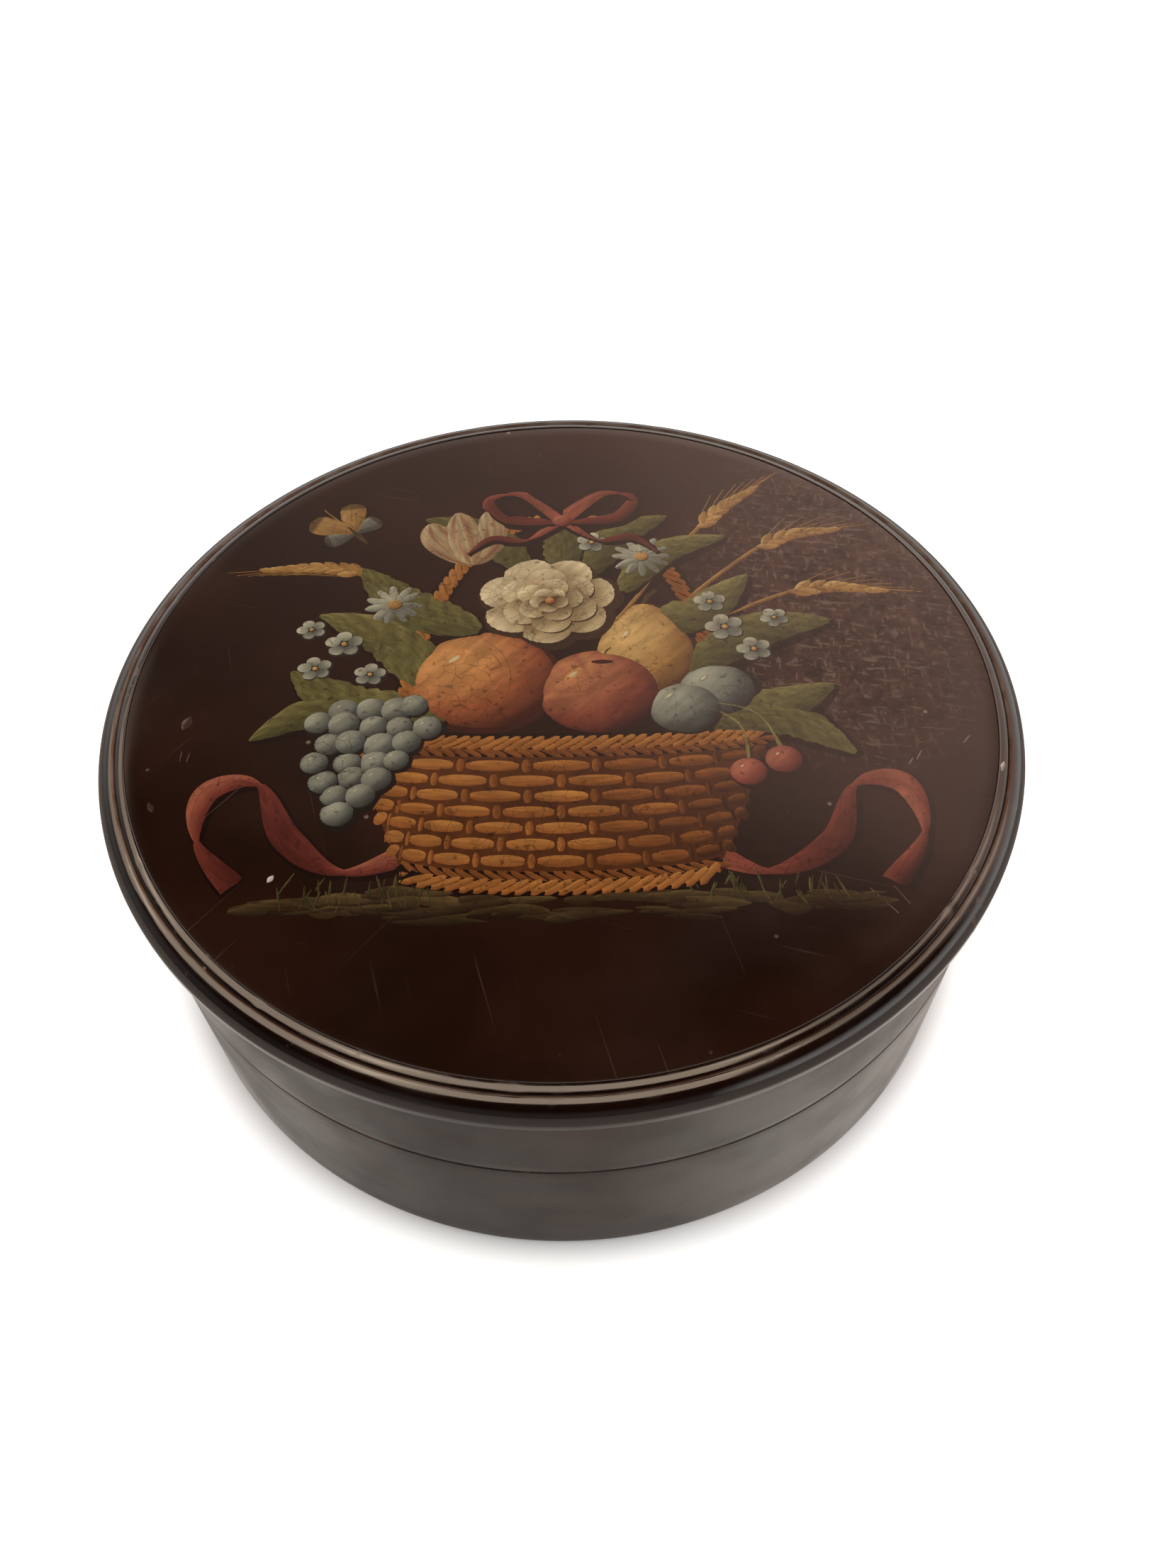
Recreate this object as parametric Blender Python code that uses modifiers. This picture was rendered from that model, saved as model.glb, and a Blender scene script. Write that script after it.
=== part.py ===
"""Round lacquered table box with a lift-off lid.

The box is glued up from turned pieces. The base is a wall ring, a bottom board let into the
wall's foot, and a neck collar that stands proud of the wall. The lid is a skirt ring, a rim
moulding with a bead and a quarter roll, and a top board let into the moulding. The lid rests
on the base wall, is centred by the collar and lifts straight off.

Run with: blender --background --python part.py
"""
import math

import bpy

# Outer sizes, in metres
WALL_DIAMETER = 0.0978
WALL_THICKNESS = 0.0026
SEAM_HEIGHT = 0.0206
SKIRT_HEIGHT = 0.0127

# Rim moulding
RIM_OVERHANG = 0.0011
ROLL_RADIUS = 0.0022
ROLL_RISE = 0.0003
ROLL_FOOT_RADIUS = 0.0004
ROLL_START_TILT = math.radians(4)
GROOVE_WIDTH = 0.00015
GROOVE_DEPTH = 0.00025
BEAD_RADIUS = 0.0021
BEAD_HEIGHT = 0.0004
BEAD_EDGE_RADIUS = 0.00015
BEAD_START_TILT = math.radians(4)
BEAD_END_TILT = math.radians(28)
LEDGE_THICKNESS = 0.0009
SPIGOT_THICKNESS = 0.0012
SPIGOT_LENGTH = 0.0020

# Boards and collar
TOP_BOARD_THICKNESS = 0.0018
BOTTOM_BOARD_THICKNESS = 0.0024
FOOT_LIP_SHARE = 0.6
COLLAR_THICKNESS = 0.0016

# Clearances
GLUE_GAP = 0.0003
COLLAR_CLEARANCE = 0.0003
NECK_HEADROOM = 0.0032

# Rounded edges
FOOT_EDGE_RADIUS = 0.0006
SEAM_EDGE_RADIUS = 0.0002
LEAD_IN_RADIUS = 0.0005
COLLAR_LIP_RADIUS = 0.0005
BOARD_EDGE_RADIUS = 0.0002

# Fineness of the turning
TURN_STEPS = 96
EDGE_STEPS = 3
BEAD_STEPS = 4
ROLL_STEPS = 9
WELD_DISTANCE = 0.000001
SHARP_ANGLE = math.radians(25)

# Finishes: linear colour, roughness
BLACK_LACQUER = ((0.016, 0.006, 0.004), 0.16)
SIDE_LACQUER = ((0.015, 0.008, 0.006), 0.24)
MOULDING_LACQUER = ((0.013, 0.006, 0.004), 0.12)
INSIDE_LACQUER = ((0.045, 0.012, 0.007), 0.35)
UNDERSIDE_LACQUER = ((0.014, 0.008, 0.006), 0.45)

# Sizes that follow from those above
WALL_RADIUS = WALL_DIAMETER / 2
BORE_RADIUS = WALL_RADIUS - WALL_THICKNESS
FOOT_REBATE_RADIUS = WALL_RADIUS - FOOT_LIP_SHARE * WALL_THICKNESS
COLLAR_RADIUS = BORE_RADIUS - COLLAR_CLEARANCE
NECK_RISE = SKIRT_HEIGHT - SPIGOT_LENGTH - NECK_HEADROOM
TOP_LEVEL = LEDGE_THICKNESS + TOP_BOARD_THICKNESS
RIM_RADIUS = WALL_RADIUS + RIM_OVERHANG
ROLL_CENTRE_RADIUS = RIM_RADIUS - ROLL_RADIUS
ROLL_CENTRE_HEIGHT = TOP_LEVEL + ROLL_RISE - ROLL_RADIUS
ROLL_START_RADIUS = ROLL_CENTRE_RADIUS + ROLL_RADIUS * math.sin(ROLL_START_TILT)
BEAD_END_RADIUS = ROLL_START_RADIUS - GROOVE_WIDTH
BEAD_CENTRE_RADIUS = BEAD_END_RADIUS - BEAD_RADIUS * math.sin(BEAD_END_TILT)
BEAD_EDGE_CENTRE_RADIUS = BEAD_CENTRE_RADIUS + (BEAD_RADIUS - BEAD_EDGE_RADIUS) * math.sin(BEAD_START_TILT)
TOP_REBATE_RADIUS = BEAD_EDGE_CENTRE_RADIUS - BEAD_EDGE_RADIUS
QUARTER_TURN = math.pi / 2


def clear_scene():
    """Remove whatever the open file holds."""
    for old in list(bpy.data.objects):
        bpy.data.objects.remove(old, do_unlink=True)


def make_collection(name):
    """Return a new collection under the scene."""
    collection = bpy.data.collections.new(name)
    bpy.context.scene.collection.children.link(collection)
    return collection


def make_frame(name, height, collection):
    """Return an empty on the box's axis that carries the pieces of one half."""
    frame = bpy.data.objects.new(name, None)
    frame.empty_display_size = WALL_RADIUS
    frame.location = (0, 0, height)
    collection.objects.link(frame)
    return frame


def lacquer(name, finish):
    """Return a lacquer material from a colour and a roughness."""
    colour, roughness = finish
    material = bpy.data.materials.new(name)
    material.use_nodes = True
    shader = material.node_tree.nodes["Principled BSDF"]
    shader.inputs["Base Color"].default_value = (*colour, 1)
    shader.inputs["Roughness"].default_value = roughness
    shader.inputs["Metallic"].default_value = 0
    material.diffuse_color = (*colour, 1)
    return material


def arc(centre, radius, start, end, steps):
    """Return points on an arc, its angles counted from straight up and turning outwards."""
    points = []
    for step in range(steps + 1):
        angle = start + (end - start) * step / steps
        points.append((centre[0] + radius * math.sin(angle), centre[1] + radius * math.cos(angle)))
    return points


def round_edge(corner, radius, quarter):
    """Return the arc that rounds a square corner.

    Quarter 0 is the top outer corner, 1 the bottom outer, 2 the bottom inner, 3 the top inner.
    """
    inward = radius if quarter in (2, 3) else -radius
    upward = radius if quarter in (1, 2) else -radius
    centre = (corner[0] + inward, corner[1] + upward)
    start = quarter * QUARTER_TURN
    return arc(centre, radius, start, start + QUARTER_TURN, EDGE_STEPS)


def turn(name, outline, closed, finish, frame, height, collection):
    """Turn an outline of (radius, height) points about the axis into one named solid.

    The outline runs down the outer side. A closed outline makes a ring, and one that starts
    and ends on the axis makes a disc.
    """
    count = len(outline)
    edges = [(index, index + 1) for index in range(count - 1)]
    if closed:
        edges.append((count - 1, 0))
    profile = bpy.data.meshes.new(name + "_profile")
    profile.from_pydata([(radius, 0, level) for radius, level in outline], edges, [])
    piece = bpy.data.objects.new(name, profile)
    collection.objects.link(piece)
    screw = piece.modifiers.new("turning", "SCREW")
    screw.axis = "Z"
    screw.angle = 2 * math.pi
    screw.steps = TURN_STEPS
    screw.render_steps = TURN_STEPS
    screw.use_merge_vertices = True
    screw.merge_threshold = WELD_DISTANCE
    turned = bpy.data.meshes.new_from_object(piece.evaluated_get(bpy.context.evaluated_depsgraph_get()))
    turned.name = name
    piece.modifiers.clear()
    piece.data = turned
    bpy.data.meshes.remove(profile)
    turned.shade_smooth()
    turned.set_sharp_from_angle(angle=SHARP_ANGLE)
    turned.materials.append(lacquer(name, finish))
    piece.parent = frame
    piece.location = (0, 0, height)
    return piece


def base_wall(frame, collection):
    """Build the straight side of the base, rebated at its foot for the bottom board."""
    outline = round_edge((WALL_RADIUS, SEAM_HEIGHT), SEAM_EDGE_RADIUS, 0)
    outline += round_edge((WALL_RADIUS, 0), FOOT_EDGE_RADIUS, 1)
    outline.append((FOOT_REBATE_RADIUS, 0))
    outline.append((FOOT_REBATE_RADIUS, BOTTOM_BOARD_THICKNESS))
    outline.append((BORE_RADIUS, BOTTOM_BOARD_THICKNESS))
    outline.append((BORE_RADIUS, SEAM_HEIGHT))
    return turn("base_wall", outline, True, SIDE_LACQUER, frame, 0, collection)


def base_bottom_board(frame, collection):
    """Build the disc that closes the base, flush with the wall's foot."""
    radius = FOOT_REBATE_RADIUS - GLUE_GAP
    outline = [(0, BOTTOM_BOARD_THICKNESS), (radius, BOTTOM_BOARD_THICKNESS), (radius, 0), (0, 0)]
    return turn("base_bottom_board", outline, False, UNDERSIDE_LACQUER, frame, 0, collection)


def neck_collar(frame, collection):
    """Build the collar that stands on the bottom board and centres the lid."""
    inner = COLLAR_RADIUS - COLLAR_THICKNESS
    top = SEAM_HEIGHT - BOTTOM_BOARD_THICKNESS + NECK_RISE
    lip = min(COLLAR_LIP_RADIUS, COLLAR_THICKNESS / 3)
    outline = round_edge((COLLAR_RADIUS, top), lip, 0)
    outline += [(COLLAR_RADIUS, 0), (inner, 0)]
    outline += round_edge((inner, top), lip, 3)
    return turn("neck_collar", outline, True, INSIDE_LACQUER, frame, BOTTOM_BOARD_THICKNESS, collection)


def lid_skirt(frame, collection):
    """Build the lid's straight side, eased inside its mouth to slip over the collar."""
    outline = [(WALL_RADIUS, SKIRT_HEIGHT)]
    outline += round_edge((WALL_RADIUS, 0), SEAM_EDGE_RADIUS, 1)
    outline += round_edge((BORE_RADIUS, 0), LEAD_IN_RADIUS, 2)
    outline.append((BORE_RADIUS, SKIRT_HEIGHT))
    return turn("lid_skirt", outline, True, SIDE_LACQUER, frame, 0, collection)


def lid_rim_moulding(frame, collection):
    """Build the moulded rim: a bead that falls outwards, a groove, a quarter roll, a spigot below."""
    edge_height = TOP_LEVEL + BEAD_HEIGHT - BEAD_EDGE_RADIUS
    edge_centre = (BEAD_EDGE_CENTRE_RADIUS, edge_height)
    bead_drop = (BEAD_RADIUS - BEAD_EDGE_RADIUS) * math.cos(BEAD_START_TILT)
    bead_centre = (BEAD_CENTRE_RADIUS, edge_height - bead_drop)
    roll_centre = (ROLL_CENTRE_RADIUS, ROLL_CENTRE_HEIGHT)
    groove_height = ROLL_CENTRE_HEIGHT + ROLL_RADIUS * math.cos(ROLL_START_TILT) - GROOVE_DEPTH
    foot = min(ROLL_FOOT_RADIUS, ROLL_CENTRE_HEIGHT / 2, RIM_OVERHANG / 2)
    spigot_outer = BORE_RADIUS - GLUE_GAP
    spigot_inner = spigot_outer - SPIGOT_THICKNESS
    outline = arc(edge_centre, BEAD_EDGE_RADIUS, -QUARTER_TURN, BEAD_START_TILT, EDGE_STEPS)
    outline += arc(bead_centre, BEAD_RADIUS, BEAD_START_TILT, BEAD_END_TILT, BEAD_STEPS)[1:]
    outline.append((ROLL_START_RADIUS - GROOVE_WIDTH / 2, groove_height))
    outline += arc(roll_centre, ROLL_RADIUS, ROLL_START_TILT, QUARTER_TURN, ROLL_STEPS)
    outline += round_edge((RIM_RADIUS, 0), foot, 1)
    outline += [(spigot_outer, 0), (spigot_outer, -SPIGOT_LENGTH)]
    outline += [(spigot_inner, -SPIGOT_LENGTH), (spigot_inner, LEDGE_THICKNESS)]
    outline.append((TOP_REBATE_RADIUS, LEDGE_THICKNESS))
    return turn("lid_rim_moulding", outline, True, MOULDING_LACQUER, frame, SKIRT_HEIGHT, collection)


def lid_top_board(frame, collection):
    """Build the flat disc on the moulding's ledge, just below the bead of the rim."""
    radius = TOP_REBATE_RADIUS - GLUE_GAP
    edge = min(BOARD_EDGE_RADIUS, TOP_BOARD_THICKNESS / 2)
    outline = [(0, TOP_BOARD_THICKNESS)]
    outline += round_edge((radius, TOP_BOARD_THICKNESS), edge, 0)
    outline += [(radius, 0), (0, 0)]
    seat = SKIRT_HEIGHT + LEDGE_THICKNESS
    return turn("lid_top_board", outline, False, BLACK_LACQUER, frame, seat, collection)


def build():
    """Build the whole box, closed, standing on the ground plane."""
    clear_scene()
    collection = make_collection("painted_box")
    base = make_frame("base_frame", 0, collection)
    lid = make_frame("lid_frame", SEAM_HEIGHT, collection)
    base_wall(base, collection)
    base_bottom_board(base, collection)
    neck_collar(base, collection)
    lid_skirt(lid, collection)
    lid_rim_moulding(lid, collection)
    lid_top_board(lid, collection)


build()
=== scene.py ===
"""Looks of the round lacquered table box.

Each rigid piece is turned again from a finer profile, in the place of its CAD node, and gets
old lacquer: mottled, crazed, scratched and rubbed at its edges. The lid's decoration is a
generic still life, a basket of fruit and flowers, laid on as thin films of paint.
"""
import math
import random

import bpy
from mathutils import Matrix, Vector


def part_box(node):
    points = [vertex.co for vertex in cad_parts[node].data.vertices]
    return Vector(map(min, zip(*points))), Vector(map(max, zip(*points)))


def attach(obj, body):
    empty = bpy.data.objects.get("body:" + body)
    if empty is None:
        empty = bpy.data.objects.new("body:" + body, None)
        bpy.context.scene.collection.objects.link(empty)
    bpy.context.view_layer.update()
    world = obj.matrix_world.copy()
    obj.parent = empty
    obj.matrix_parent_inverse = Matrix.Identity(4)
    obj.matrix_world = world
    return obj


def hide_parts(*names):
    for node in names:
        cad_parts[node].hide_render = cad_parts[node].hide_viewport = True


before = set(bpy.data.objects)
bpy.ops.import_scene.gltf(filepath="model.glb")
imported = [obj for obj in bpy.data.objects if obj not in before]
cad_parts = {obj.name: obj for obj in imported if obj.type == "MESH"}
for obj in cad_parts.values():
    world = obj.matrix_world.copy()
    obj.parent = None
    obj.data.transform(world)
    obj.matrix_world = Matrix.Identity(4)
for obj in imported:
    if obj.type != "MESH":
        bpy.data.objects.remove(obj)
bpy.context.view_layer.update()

MM = 0.001


def extents(node):
    """Return a CAD node's outer radius, foot and top, in millimetres."""
    low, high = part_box(node)
    return high.x / MM, low.z / MM, high.z / MM


# Heights and radii that the frame gives, in millimetres
WALL_RADIUS, _, SEAM_HEIGHT = extents("base_wall")
BOARD_RADIUS, _, BOARD_TOP = extents("base_bottom_board")
COLLAR_RADIUS, _, COLLAR_TOP = extents("neck_collar")
_, _, SKIRT_TOP = extents("lid_skirt")
RIM_RADIUS, SPIGOT_BOTTOM, RIM_CREST = extents("lid_rim_moulding")
_, LEDGE_LEVEL, LID_LEVEL = extents("lid_top_board")

# Details of the profiles, in millimetres
WALL_THICKNESS = 2.6
COLLAR_THICKNESS = 1.6
SPIGOT_THICKNESS = 1.2
GLUE_GAP = 0.3
HAIRLINE = 0.03
ROLL_RADIUS = 2.1
ROLL_RISE = 0.3
ROLL_FOOT_RADIUS = 0.4
ROLL_START_TILT = math.radians(8)
GROOVE_WIDTH = 0.39
GROOVE_DEPTH = 0.30
BEAD_RADIUS = 2.1
BEAD_EDGE_RADIUS = 0.09
BEAD_START_TILT = math.radians(4)
BEAD_END_TILT = math.radians(28)
LACQUER_SUNK = 0.09
BOARD_ROUND = 0.05
FOOT_LIP = 1.56
FOOT_ROUND = 0.6
SEAM_ROUND = 0.3
LEAD_IN = 0.5
LIP_ROUND = 0.5
BOTTOM_CAP, BOTTOM_RING = 0.5, 10
LID_CAP, LID_RING = 0.6, 2
ROUND_EDGE_DEPTH = 1

# Worked out from them: the bore, the foot's rebate, the lid's lacquer just under the bead, the bead
BORE = WALL_RADIUS - WALL_THICKNESS
FOOT_REBATE = WALL_RADIUS - FOOT_LIP
LACQUER_LEVEL = RIM_CREST - LACQUER_SUNK
ROLL_START = RIM_RADIUS - ROLL_RADIUS + ROLL_RADIUS * math.sin(ROLL_START_TILT)
GROOVE_MIDDLE = ROLL_START - GROOVE_WIDTH / 2
BEAD_END = ROLL_START - GROOVE_WIDTH
BEAD_MIDDLE = BEAD_END - BEAD_RADIUS * math.sin(BEAD_END_TILT)
BEAD_EDGE = BEAD_MIDDLE + (BEAD_RADIUS - BEAD_EDGE_RADIUS) * math.sin(BEAD_START_TILT)
RIM_REBATE = BEAD_EDGE - BEAD_EDGE_RADIUS

# Fineness and hand-made error
SEGMENTS = 288
RIM_SEGMENTS = 720
SHARP_FROM = math.radians(35)
WAVE_DEPTH = 0.035
RIM_WAVE_DEPTH = 0.3 * WAVE_DEPTH
LID_DISH = 0.03

# Knocks in the rim: how far inwards they lie, how far below the crest, their reach and depth
NICK_SEED, NICK_COUNT = 11, 46
NICK_PLACES = (0.7, 0.25, 2.6)
NICK_DROP, NICK_REACH, NICK_DEPTH = (0, 0.5), (0.25, 0.6), (0.02, 0.07)


def arc(centre, radius, start, end, steps):
    """Return points on an arc, its degrees counted from straight up and turning outwards."""
    points = []
    for step in range(steps + 1):
        angle = math.radians(start + (end - start) * step / steps)
        points.append((centre[0] + radius * math.sin(angle), centre[1] + radius * math.cos(angle)))
    return points


def run(first, last, steps):
    """Return evenly spaced points from one point to another, without the last."""
    return [tuple(a + (b - a) * (step / steps) for a, b in zip(first, last)) for step in range(steps)]


def hand_error(angle, height):
    """Return the error of hand turning, from 0 to 1 of WAVE_DEPTH."""
    wave = math.sin(2 * angle + 0.7 + 0.05 * height) + 0.6 * math.sin(5 * angle + 2.1 - 0.09 * height)
    wave += 0.4 * math.sin(9 * angle + 0.4 + 0.4 * height)
    return 0.5 + wave / 4


def lid_level(x, y):
    """Return the height of the slightly uneven lid at a place on it, or of the bead round it."""
    reach = math.hypot(x, y)
    if reach > RIM_REBATE:
        return RIM_CREST - BEAD_RADIUS + math.sqrt(BEAD_RADIUS ** 2 - (reach - BEAD_MIDDLE) ** 2)
    wave = math.sin(0.11 * x + 0.8) * math.cos(0.09 * y - 0.4) + 0.5 * math.sin(0.17 * y + 0.1 * x)
    return LACQUER_LEVEL - LID_DISH * (0.5 + wave / 3)


def new_piece(name, points, faces, materials, body):
    """Make a mesh object that rides on a body, smooth but for its sharp edges."""
    mesh = bpy.data.meshes.new(name)
    mesh.from_pydata([tuple(value * MM for value in point) for point in points], [], faces)
    mesh.shade_smooth()
    mesh.set_sharp_from_angle(angle=SHARP_FROM)
    for material in materials:
        mesh.materials.append(material)
    piece = bpy.data.objects.new(name, mesh)
    bpy.context.scene.collection.objects.link(piece)
    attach(piece, body)
    return piece


def turned_piece(name, outline, materials, body, node, choose=None, shape=None, closed=True,
                 segments=SEGMENTS):
    """Turn an outline about Z into a piece that replaces a CAD node.

    The outline runs down the outer side. An open one starts and ends near the axis, where a flat
    cap closes it. The shape function moves each (radius, height, angle), and choose picks each
    face's material from its radius and height.
    """
    count = len(outline)
    points, faces = [], []
    for segment in range(segments):
        angle = 2 * math.pi * segment / segments
        for radius, height in outline:
            if shape:
                radius, height = shape(radius, height, angle)
            points.append((radius * math.cos(angle), radius * math.sin(angle), height))
        here, there = segment * count, (segment + 1) % segments * count
        for index in range(count if closed else count - 1):
            below = (index + 1) % count
            faces.append((here + index, here + below, there + below, there + index))
    if not closed:
        faces.append([segment * count for segment in range(segments)])
        faces.append([segment * count + count - 1 for segment in reversed(range(segments))])
    piece = new_piece(name, points, faces, materials, body)
    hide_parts(node)
    for face in piece.data.polygons if choose else ():
        x, y, z = (value / MM for value in face.center)
        face.material_index = choose(math.hypot(x, y), z)


def tint(red, green, blue):
    """Return a linear colour from one in 0 to 255."""
    return tuple((part / 255 / 12.92) if part <= 10 else ((part / 255 + 0.055) / 1.055) ** 2.4
                 for part in (red, green, blue))


# Lacquer colours
GROUND_DARK = tint(27, 12, 6)
GROUND_WARM = tint(38, 19, 11)
GROUND_RED = tint(58, 32, 23)
CRAZE_LIGHT = tint(110, 91, 76)
DUST = tint(168, 150, 132)
SIDE_DARK = tint(40, 31, 26)
SIDE_WARM = tint(52, 40, 33)
SIDE_RED = tint(66, 43, 33)
RIM_DARK = tint(20, 9, 6)
RIM_RUBBED = tint(92, 60, 40)
GROOVE_DUST = tint(118, 98, 84)
RIM_IOR = 1.58
LID_GLOSS = 0.38
INSIDE_RED = tint(88, 30, 20)
INSIDE_DARK = tint(52, 17, 12)
UNDER_DARK = tint(30, 20, 16)
PULP = tint(140, 108, 78)

# Where the lid's lacquer is crazed and dulled, in millimetres
CRAZED_X, CRAZED_Y = 31, 13
CRAZED_WIDE, CRAZED_DEEP = 17, 26


def join(value, socket):
    """Link a value or an output to a socket, or set the socket to a plain number or colour."""
    if isinstance(value, Value):
        value = value.socket
    if isinstance(value, bpy.types.NodeSocket):
        socket.id_data.links.new(value, socket)
    elif socket.type == "RGBA":
        socket.default_value = (*value, 1)
    else:
        socket.default_value = value


def maths(operation, first, second=0.0):
    """Return one sum of two values, at least one of which varies."""
    varying = first if isinstance(first, Value) else second
    node = varying.socket.id_data.nodes.new("ShaderNodeMath")
    node.operation = operation
    join(first, node.inputs[0])
    join(second, node.inputs[1])
    return Value(node.outputs[0])


class Value:
    """A number that varies over a surface or a room. Its sums and products are new nodes."""

    def __init__(self, socket):
        self.socket = socket

    def __add__(self, other):
        return maths("ADD", self, other)

    def __sub__(self, other):
        return maths("SUBTRACT", self, other)

    def __rsub__(self, other):
        return maths("SUBTRACT", other, self)

    def __mul__(self, other):
        return maths("MULTIPLY", self, other)

    def __truediv__(self, other):
        return maths("DIVIDE", self, other)

    def most(self, other):
        """Return the larger of two values."""
        return maths("MAXIMUM", self, other)

    def step(self, low, high, bottom=0.0, top=1.0, kind="SMOOTHSTEP"):
        """Return a smooth step, from bottom where the value is low to top where it is high."""
        node = self.socket.id_data.nodes.new("ShaderNodeMapRange")
        node.interpolation_type = kind
        join(self, node.inputs["Value"])
        for name, number in (("From Min", low), ("From Max", high), ("To Min", bottom), ("To Max", top)):
            node.inputs[name].default_value = number
        return Value(node.outputs["Result"])

    def fade(self, low, high, bottom, top):
        """Return a step without the smoothness."""
        return self.step(low, high, bottom, top, "LINEAR")


class Finish:
    """Builds one material in coats over a ground colour, with its patterns in millimetres."""

    def __init__(self, name, ground):
        self.material = bpy.data.materials.new(name)
        self.material.use_nodes = True
        self.nodes = self.material.node_tree.nodes
        self.shader = self.nodes["Principled BSDF"]
        self.ground, self.normal = ground, None
        self.place = self.stretched(self.output("ShaderNodeTexCoord", "Object"), (1 / MM, 1 / MM, 1 / MM))

    def output(self, kind, name, **settings):
        """Return the named output of a new node."""
        node = self.nodes.new(kind)
        for setting, value in settings.items():
            setattr(node, setting, value)
        return node.outputs[name]

    def stretched(self, vector, factors):
        """Return a vector stretched along each axis."""
        node = self.nodes.new("ShaderNodeVectorMath")
        node.operation = "MULTIPLY"
        join(vector, node.inputs[0])
        node.inputs[1].default_value = factors
        return node.outputs[0]

    def turned(self, degrees):
        """Return the place turned about Z."""
        node = self.nodes.new("ShaderNodeVectorRotate")
        node.rotation_type = "Z_AXIS"
        node.inputs["Angle"].default_value = math.radians(degrees)
        join(self.place, node.inputs["Vector"])
        return node.outputs[0]

    def parts(self):
        """Return the X, Y and Z of the place."""
        node = self.nodes.new("ShaderNodeSeparateXYZ")
        join(self.place, node.inputs[0])
        return [Value(part) for part in node.outputs]

    def away(self):
        """Return the distance from the box's axis."""
        x, y, _ = self.parts()
        return maths("SQRT", x * x + y * y)

    def noise(self, scale, detail=2.0, place=None, stretch=None):
        """Return noise with its main features 1 / scale millimetres apart."""
        node = self.nodes.new("ShaderNodeTexNoise")
        node.inputs["Scale"].default_value = scale
        node.inputs["Detail"].default_value = detail
        vector = place or self.place
        join(self.stretched(vector, stretch) if stretch else vector, node.inputs["Vector"])
        return Value(node.outputs["Fac"])

    def cells(self, scale, feature):
        """Return a cell pattern: DISTANCE_TO_EDGE for cracks, F1 for dots."""
        node = self.nodes.new("ShaderNodeTexVoronoi")
        node.feature = feature
        node.inputs["Scale"].default_value = scale
        join(self.place, node.inputs["Vector"])
        return Value(node.outputs["Distance"])

    def mixed(self, first, second, share):
        """Return a mix of two colours."""
        node = self.nodes.new("ShaderNodeMix")
        node.data_type = "RGBA"
        join(share, node.inputs["Factor"])
        join(first, node.inputs[6])
        join(second, node.inputs[7])
        return node.outputs[2]

    def coat(self, colour, share):
        """Lay a colour over the ground, as thick as the share is near 1."""
        self.ground = self.mixed(self.ground, colour, share)

    def bump(self, height, depth, strength):
        """Raise the surface by a height pattern, depth millimetres high."""
        node = self.nodes.new("ShaderNodeBump")
        node.inputs["Strength"].default_value = strength
        node.inputs["Distance"].default_value = depth * MM
        join(height, node.inputs["Height"])
        if self.normal:
            join(self.normal, node.inputs["Normal"])
        self.normal = node.outputs["Normal"]

    def done(self, roughness):
        """Join the patterns to the shader and return the material."""
        join(self.ground, self.shader.inputs["Base Color"])
        join(roughness, self.shader.inputs["Roughness"])
        if self.normal:
            join(self.normal, self.shader.inputs["Normal"])
        return self.material


def crazed_share(finish):
    """Return how crazed the lid is at a place: 1 at the middle of the worn quarter."""
    x, y, _ = finish.parts()
    across = (x - CRAZED_X) / CRAZED_WIDE
    along = (y - CRAZED_Y) / CRAZED_DEEP
    return (across * across + along * along + finish.noise(0.12, 3)).step(1.9, 0.55)


def hatch_marks(finish):
    """Return short light marks that cross each other, as in old crazed varnish."""
    upright = finish.noise(0.55, 2, stretch=(3.2, 0.9, 1)).step(0.56, 0.70)
    level = finish.noise(0.5, 2, finish.turned(8), (0.8, 3.4, 1)).step(0.57, 0.70)
    return upright.most(level).most(finish.noise(1.15, 2).step(0.58, 0.72))


def dust_specks(finish, scale, size):
    """Return small round specks, few and of unlike strength."""
    return finish.cells(scale, "F1").step(size, size * 0.4) * finish.noise(scale * 0.6, 1).step(0.58, 0.70)


def hair_scratches(finish, scale):
    """Return fine scratches in three directions."""
    marks = None
    for degrees in (17, 74, 128):
        lines = finish.noise(scale, 1, finish.turned(degrees), (0.10, 6.5, 1)).step(0.735, 0.775)
        found = lines * finish.noise(0.09, 2, finish.turned(degrees + 40)).step(0.52, 0.66)
        marks = marks.most(found) if marks else found
    return marks


def varnish(finish):
    """Lay the lid's varnish, and return its roughness, its crazing, its marks and its scratches."""
    crazed, scratched = crazed_share(finish), hair_scratches(finish, 0.5)
    marks = hatch_marks(finish) * crazed
    rough = finish.noise(0.07, 4).step(0.40, 0.72) * 0.09 + 0.13
    rough = rough + crazed * finish.noise(0.9, 2).step(0.3, 0.7, 0.06, 0.22) + scratched * 0.10
    finish.bump(finish.noise(0.35, 3), 0.010, 0.6)
    finish.bump(marks, 0.010, 0.5)
    finish.shader.inputs["Specular IOR Level"].default_value = LID_GLOSS
    return rough, crazed, marks, scratched


def lid_lacquer():
    """Return the dark brown lacquer of the lid, mottled red where it is crazed."""
    finish = Finish("lid_lacquer", GROUND_DARK)
    rough, crazed, marks, scratched = varnish(finish)
    finish.coat(GROUND_WARM, finish.noise(0.05, 4).step(0.38, 0.66))
    finish.coat(GROUND_RED, crazed * finish.noise(0.22, 4).step(0.36, 0.62, 0.35, 1))
    finish.coat(CRAZE_LIGHT, marks * 0.50)
    finish.coat(GROUND_DARK, finish.noise(0.6, 4).step(0.54, 0.62) * crazed * 0.7)
    finish.coat(CRAZE_LIGHT, scratched * 0.13)
    finish.coat(DUST, dust_specks(finish, 0.33, 0.11) * 0.5)
    return finish.done(rough)


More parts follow.
